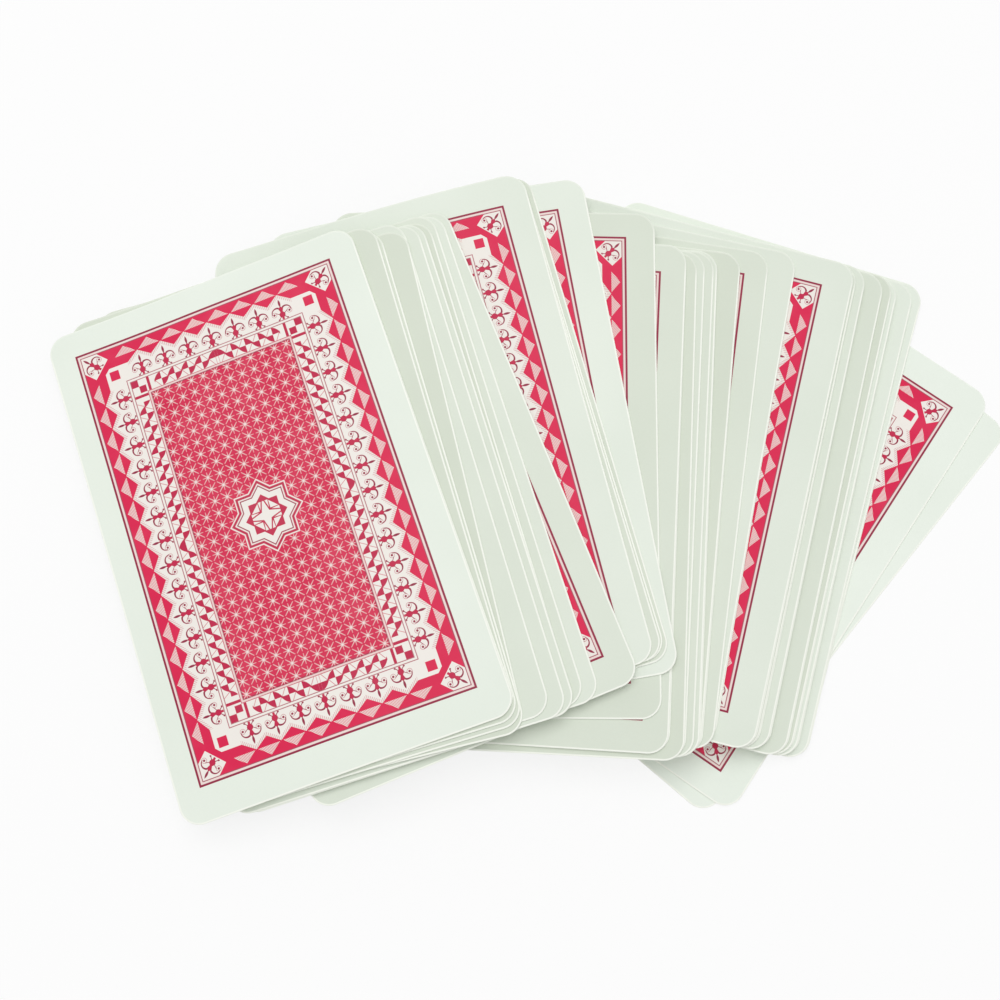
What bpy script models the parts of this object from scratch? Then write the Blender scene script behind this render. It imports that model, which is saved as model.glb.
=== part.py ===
"""A pack of playing cards, fanned out face down on a table. Metres, +Z up.

The table is the plane Z = 0 and the player sits on the -Y side. Each card is one
thin solid. The cards lie on one another, so each one bends over the cards below
it, about lines that run along Y. Any card can therefore be drawn straight out
along -Y without touching its neighbours.
"""

import math

import bmesh
import bpy
import numpy as np
from mathutils import Matrix, Vector

MM = 0.001

# One card, bridge size.
CARD_WIDTH = 57.0 * MM
CARD_LENGTH = 88.0 * MM
CARD_THICKNESS = 0.24 * MM
CORNER_RADIUS = 3.5 * MM
CORNER_SEGMENTS = 5

# Air left between a card and the one it lies on.
AIR = 0.015 * MM
PITCH = CARD_THICKNESS + AIR

# The cards bend only along shared lines, so two neighbours always bend together.
FOLD_STEP = 6.0 * MM

# Beyond its own edge a card still props up those above it, less and less, down to
# nothing one reach away. An ease above 1 makes that fall steeper near the card.
REACH = 36.0 * MM
EASE = 1.6

# Places in the fan, from the lowest card to the highest, read off the photograph:
# cards in the place, X and Y of its middle in millimetres, turn in degrees.
RIGHT_PILE = (
    (1, 34.5, 1.0, -39.3),
    (1, 33.5, 1.9, -33.6),
    (2, 30.3, 8.9, -16.3),
    (2, 29.2, 8.1, -15.0),
    (4, 26.5, 8.1, -14.2),
    (2, 25.5, 8.3, -14.1),
    (2, 24.0, 8.1, -13.6),
    (4, 20.6, 8.9, -13.4),
    (2, 18.8, 9.1, -13.5),
    (3, 18.1, 9.1, -13.5),
    (2, 9.1, 9.1, -10.9),
    (1, 6.3, 7.1, -7.6),
    (2, 2.5, 5.4, -5.6),
    (2, 0.1, 4.0, -3.0),
    (1, -0.7, 3.9, -3.2),
    (1, -2.2, 3.7, -3.0),
    (1, -3.1, 3.0, -2.2),
    (2, -5.4, 4.3, -2.7),
    (1, -8.8, 8.5, 0.4),
    (1, -13.2, 10.5, 10.9),
    (1, -18.0, 9.0, 16.4),
    (1, -19.0, 9.2, 16.7),
    (1, -19.4, 9.1, 16.6),
    (1, -20.1, 9.3, 15.3),
)

# The lowest card of the left-hand packet slopes down from the pile to the table.
LEFT_PACKET = (
    (1, -45.0, -2.3, 20.2),
    (1, -26.8, 0.7, 22.9),
    (1, -31.1, 0.5, 18.8),
    (1, -33.2, 0.5, 18.1),
    (1, -34.4, -0.7, 17.4),
    (1, -34.8, -1.2, 18.3),
    (1, -36.0, -1.5, 18.0),
    (1, -38.6, -1.3, 17.8),
    (1, -40.7, -2.0, 14.5),
    (1, -42.7, -2.7, 17.4),
    (1, -43.5, -2.1, 17.6),
    (2, -45.5, -3.0, 20.2),
)

# Cards that share a place are never quite square: each sits this far behind the one
# above it, first to one side and then to the other.
SHARED_BACK = 0.12 * MM
SHARED_ASIDE = 0.15 * MM
SHARED_TURN = math.radians(0.15)

RANKS = (
    "ace",
    "two",
    "three",
    "four",
    "five",
    "six",
    "seven",
    "eight",
    "nine",
    "ten",
    "jack",
    "queen",
    "king",
)
SUITS = ("spades", "hearts", "clubs", "diamonds")
JOKERS = ("joker_red", "joker_black")

# The pack is shuffled by taking every so many cards, a step with no common factor
# with the size of the pack.
SHUFFLE_STEP = 23
SHUFFLE_START = 10

STOCK_COLOUR = (0.78, 0.84, 0.79, 1.0)
STOCK_ROUGHNESS = 0.38


def clear_scene():
    """Remove whatever the scene holds."""
    for obj in list(bpy.data.objects):
        bpy.data.objects.remove(obj, do_unlink=True)


def shuffled_names():
    """Return the names of the whole pack, in the order they lie from the table up."""
    pack = [f"{rank}_of_{suit}" for suit in SUITS for rank in RANKS]
    pack.extend(JOKERS)
    return [pack[(SHUFFLE_START + SHUFFLE_STEP * i) % len(pack)] for i in range(len(pack))]


def card_poses(places):
    """Return (x, y, turn) for every card in the places, from the lowest up."""
    poses = []
    for count, x, y, degrees in places:
        for depth in reversed(range(count)):
            side = depth % 2 * 2 - 1 if depth else 0
            turn = math.radians(degrees) + side * SHARED_TURN
            aside = side * SHARED_ASIDE
            back = depth * SHARED_BACK
            dx = aside * math.cos(turn) - back * math.sin(turn)
            dy = aside * math.sin(turn) + back * math.cos(turn)
            poses.append((x * MM + dx, y * MM + dy, turn))
    return poses


def span(pose):
    """Return the lowest and the highest X of a card that lies flat at a pose."""
    x, _, turn = pose
    across = (CARD_WIDTH / 2 - CORNER_RADIUS) * abs(math.cos(turn))
    along = (CARD_LENGTH / 2 - CORNER_RADIUS) * abs(math.sin(turn))
    half = across + along + CORNER_RADIUS
    return x - half, x + half


def fold_lines(poses):
    """Return the X of every fold line, from past one end of the fan to past the other."""
    furthest = max(max(map(abs, span(pose))) for pose in poses)
    steps = math.ceil(furthest / FOLD_STEP) + 1
    return np.arange(-steps, steps + 1) * FOLD_STEP


def fold_after(x):
    """Return the first fold line at or past X."""
    return math.ceil(x / FOLD_STEP) * FOLD_STEP


def fold_before(x):
    """Return the last fold line at or short of X."""
    return math.floor(x / FOLD_STEP) * FOLD_STEP


def support(pose, far_left, folds):
    """Return how much of its thickness a card adds to the pile at each fold line.

    It adds all of it wherever the card lies, and none at far_left or further left.
    """
    left, right = span(pose)
    left = fold_before(left)
    right = fold_after(right)
    share = np.interp(folds, (far_left, left, right, right + REACH), (0.0, 1.0, 1.0, 0.0))
    return share**EASE


def flat_card(turn):
    """Return a flat rounded rectangle, turned about its middle, as a bmesh."""
    sheet = bmesh.new()
    bmesh.ops.create_grid(sheet, x_segments=1, y_segments=1, size=0.5)
    bmesh.ops.scale(sheet, vec=(CARD_WIDTH, CARD_LENGTH, 1.0), verts=sheet.verts)
    bmesh.ops.bevel(
        sheet,
        geom=sheet.verts[:],
        offset=CORNER_RADIUS,
        offset_type="OFFSET",
        segments=CORNER_SEGMENTS,
        profile=0.5,
        affect="VERTICES",
    )
    bmesh.ops.rotate(sheet, matrix=Matrix.Rotation(turn, 3, "Z"), verts=sheet.verts)
    return sheet


def bend(sheet, x, folds, heights):
    """Lay a flat sheet over the pile, keeping its length along the bend.

    The height of the pile is given at each fold line and runs straight between them.
    """
    run = np.hypot(np.diff(folds), np.diff(heights))
    along = np.concatenate(((0.0,), np.cumsum(run)))
    middle = np.interp(x, folds, along)
    for place in along - middle:
        whole = sheet.verts[:] + sheet.edges[:] + sheet.faces[:]
        bmesh.ops.bisect_plane(
            sheet, geom=whole, dist=1e-7, plane_co=(place, 0.0, 0.0), plane_no=(1.0, 0.0, 0.0)
        )
    for vert in sheet.verts:
        at = np.interp(vert.co.x + middle, along, folds)
        vert.co.z = np.interp(at, folds, heights)
        vert.co.x = at - x


def thicken(sheet):
    """Give a sheet the thickness of a card, straight up."""
    made = bmesh.ops.extrude_face_region(sheet, geom=sheet.faces[:], use_keep_orig=True)
    raised = [item for item in made["geom"] if isinstance(item, bmesh.types.BMVert)]
    bmesh.ops.translate(sheet, vec=(0.0, 0.0, CARD_THICKNESS), verts=raised)
    bmesh.ops.recalc_face_normals(sheet, faces=sheet.faces[:])


def stock_material():
    """Return the pale coated card that every card is cut from."""
    material = bpy.data.materials.new("coated_card")
    material.use_nodes = True
    shader = material.node_tree.nodes["Principled BSDF"]
    shader.inputs["Base Color"].default_value = STOCK_COLOUR
    shader.inputs["Roughness"].default_value = STOCK_ROUGHNESS
    shader.inputs["Metallic"].default_value = 0.0
    return material


def make_card(name, pose, folds, heights, material):
    """Return one card as an object that sits and turns about its own middle."""
    x, y, turn = pose
    sheet = flat_card(turn)
    bend(sheet, x, folds, heights)
    thicken(sheet)
    bmesh.ops.rotate(sheet, matrix=Matrix.Rotation(-turn, 3, "Z"), verts=sheet.verts)
    mesh = bpy.data.meshes.new(name)
    sheet.to_mesh(mesh)
    sheet.free()
    mesh.materials.append(material)
    card = bpy.data.objects.new(name, mesh)
    card.location = (x, y, 0.0)
    card.rotation_euler = (0.0, 0.0, turn)
    return card


def centre(cards):
    """Move the whole fan so that its box is centred on the origin."""
    bpy.context.view_layer.update()
    corners = [card.matrix_world @ vert.co for card in cards for vert in card.data.vertices]
    low = Vector(min(corner[axis] for corner in corners) for axis in range(3))
    high = Vector(max(corner[axis] for corner in corners) for axis in range(3))
    middle = (low + high) / 2
    for card in cards:
        card.location.x -= middle.x
        card.location.y -= middle.y


def main():
    """Build the pack."""
    clear_scene()
    pack = bpy.data.collections.new("playing_card_deck")
    bpy.context.scene.collection.children.link(pack)
    material = stock_material()
    pile_poses = card_poses(RIGHT_PILE)
    packet_poses = card_poses(LEFT_PACKET)
    poses = pile_poses + packet_poses
    foot = fold_after(span(packet_poses[0])[0])
    folds = fold_lines(poses)
    layers = np.zeros_like(folds)
    cards = []
    for name, pose in zip(shuffled_names(), poses):
        card = make_card(name, pose, folds, layers * PITCH, material)
        pack.objects.link(card)
        cards.append(card)
        far_left = foot if pose in pile_poses else fold_before(span(pose)[0]) - REACH
        layers = layers + support(pose, far_left, folds)
    centre(cards)


main()
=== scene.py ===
"""A pack of playing cards, fanned out face down on a table and dressed for rendering.

Every packed card is replaced by a finer one that lies in the same place, in the same
bend. Its back carries a traditional red ornament and its face the usual pips, both
drawn by formula in the shader, in millimetres about the middle of the print.
"""

import logging
import math
import random
from dataclasses import dataclass, field
from enum import Enum
from functools import reduce
from typing import Any, Union

import bpy
import numpy as np
from bpy.types import Material, Mesh, Node, NodeSocket, Object, World
from mathutils import Matrix, Vector
from mathutils.geometry import convex_hull_2d


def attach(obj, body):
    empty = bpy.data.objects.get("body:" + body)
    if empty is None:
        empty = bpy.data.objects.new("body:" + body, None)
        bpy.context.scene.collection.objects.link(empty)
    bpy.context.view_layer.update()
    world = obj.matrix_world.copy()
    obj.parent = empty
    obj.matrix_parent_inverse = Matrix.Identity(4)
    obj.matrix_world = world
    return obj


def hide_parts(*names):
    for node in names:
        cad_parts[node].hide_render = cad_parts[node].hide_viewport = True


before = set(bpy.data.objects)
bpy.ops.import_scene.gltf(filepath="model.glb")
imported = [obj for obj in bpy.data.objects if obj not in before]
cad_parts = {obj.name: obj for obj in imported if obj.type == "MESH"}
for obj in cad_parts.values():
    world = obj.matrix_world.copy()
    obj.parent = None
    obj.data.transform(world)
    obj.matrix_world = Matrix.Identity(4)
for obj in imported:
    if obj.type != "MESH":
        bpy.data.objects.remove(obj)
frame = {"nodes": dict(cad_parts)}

log = logging.getLogger("playing_cards")

MM = 0.001

# UV maps that every card carries: millimetres from the middle of the card, the same
# from the middle of the print, and the map for baking the card's textures.
CARD_MAP = "card"
PRINT_MAP = "print"
BAKE_MAP = "OFBake"

# The attribute that tells how much darker and yellower a card is painted, from 0 to 1: partly yellowing,
# partly painted shade.
SHADE_AND_AGE = "age"

# What turns a sum of two sides into a distance along the diagonal.
DIAGONAL = math.sqrt(0.5)

# The softness of a mask that only chooses between two patterns.
CRISP = 0.01

Colour = tuple[float, float, float, float]
Pair = tuple[float, float]

# Where a band begins and ends, and how strong it is.
Band = tuple[float, float, float]


class Suit(Enum):
    """The four suits of the pack, and the colours of the two jokers."""

    SPADES = "spades"
    HEARTS = "hearts"
    CLUBS = "clubs"
    DIAMONDS = "diamonds"
    BLACK = "black"
    RED = "red"

    @property
    def red(self) -> bool:
        """Tell whether the suit is printed in red."""
        return self in (Suit.HEARTS, Suit.DIAMONDS, Suit.RED)


class Side(Enum):
    """The three surfaces of a card, in the order of its material slots."""

    BACK = 0
    FACE = 1
    EDGE = 2


class Value:
    """A number that changes over a surface; an expression on it adds Math nodes."""

    def __init__(self, paint: "Paint", socket: NodeSocket) -> None:
        """Wrap an output socket of a material's nodes."""
        self.paint = paint
        self.socket = socket

    def __add__(self, other: "Number") -> "Value":
        """Return the sum."""
        return self.paint.math("ADD", self, other)

    def __radd__(self, other: "Number") -> "Value":
        """Return the sum, with a plain number first."""
        return self.paint.math("ADD", other, self)

    def __sub__(self, other: "Number") -> "Value":
        """Return the difference."""
        return self.paint.math("SUBTRACT", self, other)

    def __rsub__(self, other: "Number") -> "Value":
        """Return the difference, with a plain number first."""
        return self.paint.math("SUBTRACT", other, self)

    def __mul__(self, other: "Number") -> "Value":
        """Return the product."""
        return self.paint.math("MULTIPLY", self, other)

    def __rmul__(self, other: "Number") -> "Value":
        """Return the product, with a plain number first."""
        return self.paint.math("MULTIPLY", other, self)

    def __truediv__(self, other: "Number") -> "Value":
        """Return the quotient."""
        return self.paint.math("DIVIDE", self, other)

    def __pow__(self, other: "Number") -> "Value":
        """Return the power."""
        return self.paint.math("POWER", self, other)

    def __abs__(self) -> "Value":
        """Return the size without its sign."""
        return self.paint.math("ABSOLUTE", self)


Number = Union[Value, float]


class Paint:
    """The nodes of one material, or of the world."""

    def __init__(self, owner: Union[Material, World]) -> None:
        """Start from no nodes.

        Args:
            owner: The material or the world that the nodes belong to.
        """
        self.owner = owner
        owner.use_nodes = True
        self.tree = owner.node_tree
        self.tree.nodes.clear()

    def node(self, kind: str, settings: dict[str, Any], inputs: dict[Any, Any]) -> Node:
        """Add a node.

        Args:
            kind: The node's type.
            settings: Its own settings, which are set first.
            inputs: What each of its sockets takes: a value, an output socket or a constant.

        Returns:
            The new node.
        """
        node = self.tree.nodes.new(kind)
        for setting, choice in settings.items():
            setattr(node, setting, choice)
        for place, given in inputs.items():
            given = given.socket if isinstance(given, Value) else given
            if isinstance(given, NodeSocket):
                self.tree.links.new(given, node.inputs[place])
            else:
                node.inputs[place].default_value = given
        return node

    def math(self, operation: str, *numbers: Number, clamp: bool = False) -> Value:
        """Add a Math node, whose result can be kept between 0 and 1, and return that result."""
        settings = {"operation": operation, "use_clamp": clamp}
        return Value(self, self.node("ShaderNodeMath", settings, dict(enumerate(numbers))).outputs[0])

    def position(self, uv_map: str) -> tuple[Value, Value]:
        """Read one of the piece's UV maps.

        Args:
            uv_map: The map's name.

        Returns:
            Its two coordinates.
        """
        uv = self.node("ShaderNodeUVMap", {"uv_map": uv_map}, {})
        split = self.node("ShaderNodeSeparateXYZ", {}, {"Vector": uv.outputs["UV"]})
        return Value(self, split.outputs["X"]), Value(self, split.outputs["Y"])

    def attribute(self, name: str) -> Value:
        """Return one of the piece's own attributes."""
        return Value(self, self.node("ShaderNodeAttribute", {"attribute_name": name}, {}).outputs["Fac"])

    def noise(self, size: float, detail: float = 2.0) -> Value:
        """Add a noise pattern on the piece's own coordinates.

        Args:
            size: The size of its blots, in metres.
            detail: How many finer layers it has.

        Returns:
            A value from 0 to 1, mostly near the middle.
        """
        where = self.node("ShaderNodeTexCoord", {}, {}).outputs["Object"]
        inputs = {"Vector": where, "Scale": 1.0 / size, "Detail": detail}
        return Value(self, self.node("ShaderNodeTexNoise", {}, inputs).outputs["Fac"])

    def mix(self, share: Number, low: Any, high: Any) -> NodeSocket:
        """Blend two colours, with this share of the second one, and return the blend's socket."""
        # A Mix node has its sockets for colours after those for numbers and vectors.
        inputs = {"Factor": share, 6: low, 7: high}
        return self.node("ShaderNodeMix", {"data_type": "RGBA"}, inputs).outputs[2]

    def bump(self, height: Number, strength: float, distance: float) -> NodeSocket:
        """Add fine relief, a height of 1 being this many metres, and return the bent normal's socket."""
        inputs = {"Height": height, "Strength": strength, "Distance": distance}
        return self.node("ShaderNodeBump", {}, inputs).outputs["Normal"]

    def in_view(self) -> Value:
        """Find what the camera sees, straight or by way of a mirror or glass.

        Returns:
            The mask of it.
        """
        rays = self.node("ShaderNodeLightPath", {}, {}).outputs
        kinds = ("Is Camera Ray", "Is Glossy Ray", "Is Transmission Ray")
        return any_of(*(Value(self, rays[kind]) for kind in kinds))

    def surface(self, shader: NodeSocket) -> Union[Material, World]:
        """Put a shader on the owner's surface.

        Args:
            shader: The shader's socket.

        Returns:
            The owner.
        """
        kind = "World" if isinstance(self.owner, World) else "Material"
        self.node(f"ShaderNodeOutput{kind}", {}, {"Surface": shader})
        return self.owner


def lesser(first: Value, second: Number) -> Value:
    """Return the lower of two numbers."""
    return first.paint.math("MINIMUM", first, second)


def greater(first: Value, second: Number) -> Value:
    """Return the higher of two numbers."""
    return first.paint.math("MAXIMUM", first, second)


def all_of(*masks: Value) -> Value:
    """Return the mask of what lies in every one of the masks."""
    return reduce(lambda first, second: first * second, masks)


def any_of(*masks: Value) -> Value:
    """Return the mask of what lies in at least one of the masks."""
    return reduce(greater, masks)


def pick(choice: Value, when_off: Number, when_on: Number) -> Value:
    """Return one number where a mask is 0 and another where it is 1."""
    return when_off + (when_on - when_off) * choice


def below(distance: Value, limit: Number = 0.0, soft: float = 0.05) -> Value:
    """Return a mask that is 1 where a distance is below a limit, with an edge as wide as it is soft."""
    return distance.paint.math("MULTIPLY_ADD", distance, -1.0 / soft, limit / soft + 0.5, clamp=True)


def between(distance: Value, low: float, high: float) -> Value:
    """Return a mask that is 1 where a distance lies between two limits."""
    return below(abs(distance - (low + high) / 2), (high - low) / 2)


def bands(distance: Value, *limits: Band) -> Value:
    """Return a mask of bands, each as strong as it says."""
    return any_of(*(between(distance, low, high) * strength for low, high, strength in limits))


def line(distance: Value, place: float, width: float) -> Value:
    """Return a mask of a thin line at a distance."""
    return below(abs(distance - place), width / 2)


def reach(x: Value, y: Value) -> Value:
    """Return the distance from the origin."""
    return (x * x + y * y) ** 0.5


def dot(x: Value, y: Value, radius: float) -> Value:
    """Return a mask of a round dot about the origin."""
    return below(reach(x, y), radius)


def star(across: Value, along: Value, square: float, diamond: float) -> Value:
    """Return the distance out from an eight-pointed star, a square and a diamond of these half widths."""
    return lesser(greater(across, along) - square, (across + along - diamond) * DIAGONAL)


def folded(along: Value, pitch: float, shift: Number = 0.0) -> Value:
    """Return the distance to the nearest of marks that repeat at a pitch, the first at a shift."""
    return along.paint.math("PINGPONG", along - shift, pitch / 2)


def turned(x: Value, y: Value) -> Value:
    """Return x as it reads from the nearer end of a card, for a print that is the same from both."""
    return x * x.paint.math("SIGN", y)


def read(items: Any, name: str, kind: type = float) -> np.ndarray:
    """Read one property of every part of a mesh.

    Args:
        items: The vertices, loops or polygons, or the corners of a UV map.
        name: The property's name.
        kind: The type of its numbers.

    Returns:
        A number for each part, or a row of coordinates where the property is a place.
    """
    width = {"co": 3, "uv": 2}.get(name, 1)
    values = np.empty(len(items) * width, dtype=kind)
    items.foreach_get(name, values)
    return values.reshape(-1, width) if width > 1 else values


@dataclass(frozen=True)
class Fleur:
    """A small fleur-de-lis that stands on its foot, in millimetres from its tip and its axis."""

    height: float = 3.76
    leaf_length: float = 1.5
    leaf_half_width: float = 0.2
    neck_at: float = 1.3
    neck_slope: float = 1.2
    shoulder_at: float = 1.65
    shoulder_half_width: float = 0.46
    shoulder_slope: float = 0.37
    bulb_at: float = 2.85
    bulb_half_width: float = 0.54
    bulb_half_height: float = 0.68
    foot_at: float = 3.5
    foot_slope: float = 0.8
    stem_half_width: float = 0.2
    petal_aside: float = 0.85
    petal_at: float = 2.3
    petal_radius: float = 0.88
    petal_pen: float = 0.185
    petal_thinning: float = 0.06
    petal_start: float = 0.3
    petal_end: float = 0.12
    bud_aside: float = 1.4
    bud_at: float = 2.5
    bud_radius: float = 0.2
    scroll_radius: float = 0.43
    scroll_pen: float = 0.1
    scroll_strength: float = 0.6
    link_at: float = 3.01
    link_slope: float = 0.69
    link_pen: float = 0.14
    link_span: Pair = (0.35, 1.1)
    claw_start: float = 0.3
    claw_aside: float = 0.78
    claw_at: float = 3.66
    claw_pen: float = 0.2
    claw_radius: float = 0.17

    def ink(self, aside: Value, down: Value) -> tuple[Value, Value]:
        """Return the masks of the solid body and of the fine strokes, cut off below the foot."""
        whole = between(down, 0.0, self.height)
        return self.body(aside, down) * whole, self.strokes(aside, down) * whole

    def body(self, aside: Value, down: Value) -> Value:
        """Draw the stem, with its shoulder, its bulb and its spreading foot.

        Args:
            aside: The distance from the fleur's axis.
            down: The distance below its tip.

        Returns:
            The mask of the solid ink.
        """
        neck = (down - self.neck_at) * self.neck_slope
        shoulder = self.shoulder_half_width - (down - self.shoulder_at) * self.shoulder_slope
        share = (down - self.bulb_at) / self.bulb_half_height
        bulb = (1.0 - share * share) * self.bulb_half_width
        foot = (down - self.foot_at) * self.foot_slope
        half_width = greater(greater(shoulder, bulb), greater(foot, self.stem_half_width))
        return below(aside - lesser(half_width, neck))

    def strokes(self, aside: Value, down: Value) -> Value:
        """Draw the leaf at the tip, the petals that scroll round their buds, and the claws.

        Args:
            aside: The distance from the fleur's axis.
            down: The distance below its tip.

        Returns:
            The mask of the fine strokes.
        """
        # The leaf is widest at half its length.
        share = down / self.leaf_length
        leaf = below(aside - share * (1.0 - share) * (4.0 * self.leaf_half_width))
        petal_y = down - self.petal_at
        ring = abs(reach(aside - self.petal_aside, petal_y) - self.petal_radius)
        petal = all_of(
            below(ring, self.petal_pen - aside * self.petal_thinning),
            below(petal_y, self.petal_end),
            below(self.petal_start - aside),
        )
        from_bud = reach(aside - self.bud_aside, down - self.bud_at)
        bud = below(from_bud, self.bud_radius)
        scroll = line(from_bud, self.scroll_radius, self.scroll_pen) * self.scroll_strength
        link = line(down + aside * self.link_slope, self.link_at, self.link_pen)
        link = link * between(aside, *self.link_span)
        claw = line(down - aside, self.claw_at - self.claw_aside, self.claw_pen)
        claw = claw * between(aside, self.claw_start, self.claw_aside)
        claw_end = dot(aside - self.claw_aside, down - self.claw_at, self.claw_radius)
        return any_of(leaf, petal, bud, scroll, link, claw, claw_end)


@dataclass(frozen=True)
class Rim:
    """Where a spot lies in an ornament, seen from the ornament's outer line. Millimetres."""

    # The distances in from the long and from the short outer line, and the lesser of them.
    from_side: Value
    from_end: Value
    depth: Value
    # The mask of the long sides, and the place along the nearest side, from its middle.
    long_side: Value
    place: Value


@dataclass(frozen=True)
class BackOrnament:
    """The red ornament on the back of a card, in millimetres from its own middle.

    Outermost is a thin line. Inside it lie a band of triangles, a row of fleurs, a band
    of counterchanged sails and a field of small stars with a medallion.
    """

    half_width: float = 23.93
    half_length: float = 38.91
    # The fine lines and the paler tints that run all round, by their depth.
    thin_lines: tuple[Band, ...] = (
        (-0.01, 0.35, 1.0),
        (0.69, 0.85, 0.9),
        (7.425, 7.575, 0.85),
        (7.925, 8.075, 0.85),
        (10.96, 11.2, 0.8),
    )
    tints: tuple[Band, ...] = ((0.17, 0.8, 0.16), (10.55, 10.98, 0.24))
    # The triangles and the fleurs. A row reaches so many pitches from the middle of its side.
    pitch: float = 4.37
    short_row: float = 3.5
    long_row: float = 7.0
    band_start: float = 0.8
    band_end: float = 4.27
    pale_tip: float = 1.1
    pale_base: float = 2.66
    pale_share: float = 0.44
    peak_tip: float = 2.73
    fleur: Fleur = field(default_factory=Fleur)
    fleur_tip: float = 3.64
    fleur_end: float = 7.45
    fleur_deepened: float = 0.4
    hatch_pitch: float = 0.3
    hatch_share: float = 0.2
    hatch_soft: float = 0.08
    fringe: float = 0.65
    fringe_share: float = 0.18
    fringe_strength: float = 0.55
    # The corners.
    square_half_width: float = 0.845
    square_at: float = 5.8
    niche: float = 9.4
    pentagon_half_width: float = 2.04
    pentagon_length: float = 4.42
    pentagon_fleur_tip: float = 0.5
    # The sails and, in the corners, the checks. The first sail stands off the middle of its
    # side, and what shapes a sail is in shares of its cell.
    check_start: float = 8.05
    check_end: float = 10.55
    check_deepened: float = 0.45
    sail_pitch_short: float = 2.537
    sail_pitch_long: float = 2.468
    first_short: float = 0.25
    first_long: float = -0.15
    first_pen: float = 0.1
    first_strength: float = 0.6
    sail_reach: float = 0.56
    sail_soft: float = 0.03
    halves_soft: float = 0.02
    hairline_at: float = 0.86
    hairline_slope: float = 0.33
    hairline_half_width: float = 0.025
    hairline_strength: float = 0.8
    sails_end: float = 12.2
    divider: Pair = (10.87, 11.37)
    check_line: Band = (10.545, 10.675, 0.9)
    # The field and its stars. A star's arms grow fainter outwards.
    field_start: float = 10.98
    field_strength: float = 0.98
    field_deepened: float = 0.1
    star_pitch_across: float = 2.205
    star_pitch_along: float = 2.175
    heart_radius: float = 0.26
    heart_soft: float = 0.24
    heart_strength: float = 0.9
    upright_half_width: float = 0.07
    upright_reach: float = 0.92
    upright_strength: float = 0.72
    upright_fading: float = 0.36
    slanted_half_width: float = 0.075
    slanted_reach: float = 1.88
    slanted_strength: float = 0.8
    slanted_fading: float = 0.2
    # The medallion, with pale and deepened rings by their distance out from its edge.
    medallion_square: float = 4.65
    medallion_diamond: float = 6.65
    medallion_gap: float = 0.12
    pale_rings: tuple[Band, ...] = ((-0.24, 0.0, 0.9), (-0.88, -0.64, 0.9), (-2.05, -1.06, 1.0))
    deep_rings: tuple[Band, ...] = ((-1.1, -0.86, 0.9), (-0.68, -0.24, 0.45), (-5.0, -2.05, 0.4))
    # The rosette in it: the slopes and limits of the lines that bound its parts.
    rosette_edge: float = -2.1
    rosette_reach: float = 2.5
    arm_slope: float = 0.29
    arm_width: float = 0.86
    wedge_start: float = 0.98
    wedge_end: float = 3.35
    slit_low: Pair = (0.3, 1.11)
    slit_high: Pair = (0.076, 0.68)

    def ink(self, x: Value, y: Value) -> tuple[Value, Value]:
        """Draw the whole ornament.

        Args:
            x: The place across the card.
            y: The place along the card.

        Returns:
            The share of the surface that the ink covers, and how far the ink is deepened.
        """
        across = abs(x)
        along = abs(y)
        from_side = self.half_width - across
        from_end = self.half_length - along
        long_side = below(from_side - from_end, 0.0, CRISP)
        depth = lesser(from_side, from_end)
        rim = Rim(from_side, from_end, depth, long_side, pick(long_side, across, along))
        hatch = below(folded(x + y, self.hatch_pitch), self.hatch_pitch * self.hatch_share, self.hatch_soft)
        border, fine = self.border(rim, hatch)
        checks = self.checks(rim)
        middle, dark = self.middle(across, along, depth)
        deepened = any_of(fine, checks * self.check_deepened, middle * self.field_deepened, dark)
        return any_of(border, fine, checks, middle), deepened

    def border(self, rim: Rim, hatch: Value) -> tuple[Value, Value]:
        """Draw the outer line, the band of triangles and the fleurs.

        Args:
            rim: Where the spot lies.
            hatch: The fine slanted lines that tint the paler triangles.

        Returns:
            The masks of the solid ink and of the fine strokes.
        """
        depth = rim.depth
        # A short side has a fleur at its middle and a long side has none there.
        to_fleur = folded(rim.place, self.pitch, rim.long_side * (self.pitch / 2))
        to_gap = self.pitch / 2 - to_fleur
        past_row = rim.place - pick(rim.long_side, self.short_row * self.pitch, self.long_row * self.pitch)
        in_row = below(past_row)

        pale_slope = self.pale_share * self.pitch / (self.pale_base - self.pale_tip)
        pale = below(to_gap - (depth - self.pale_tip) * pale_slope)
        pale = all_of(pale, below(depth, self.pale_base), below(past_row, self.pitch / 2))
        peak_slope = self.pitch / 2 / (self.band_end - self.peak_tip)
        into_peak = to_fleur - (depth - self.peak_tip) * peak_slope
        peak = all_of(below(into_peak), in_row)
        to_tick = folded(rim.place, self.hatch_pitch)
        ticks = below(to_tick, self.hatch_pitch * self.fringe_share, self.hatch_soft)
        fringe = all_of(peak, below(0.0 - into_peak, self.fringe * peak_slope), ticks)

        inside = below(self.band_start - depth)
        corner_a = rim.from_side - self.band_start
        corner_b = rim.from_end - self.band_start
        diagonal = (corner_a + corner_b) * DIAGONAL
        off_diagonal = abs(corner_a - corner_b) * DIAGONAL
        pentagon = below(off_diagonal, self.pentagon_half_width)
        pentagon = all_of(pentagon, below(diagonal, self.pentagon_length), inside)
        niche = all_of(below(rim.from_side + rim.from_end, self.niche), below(depth, self.fleur_end))
        red = all_of(inside, greater(below(depth, self.band_end), niche))
        red = red * (1.0 - pale * (1.0 - hatch)) * (1.0 - peak) * (1.0 - pentagon)

        aside = pick(pentagon, to_fleur, off_diagonal)
        down = pick(pentagon, depth - self.fleur_tip, diagonal - self.pentagon_fleur_tip)
        bodies, strokes = self.fleur.ink(aside, down)
        in_place = greater(pentagon, in_row)
        bodies = bodies * in_place

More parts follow.
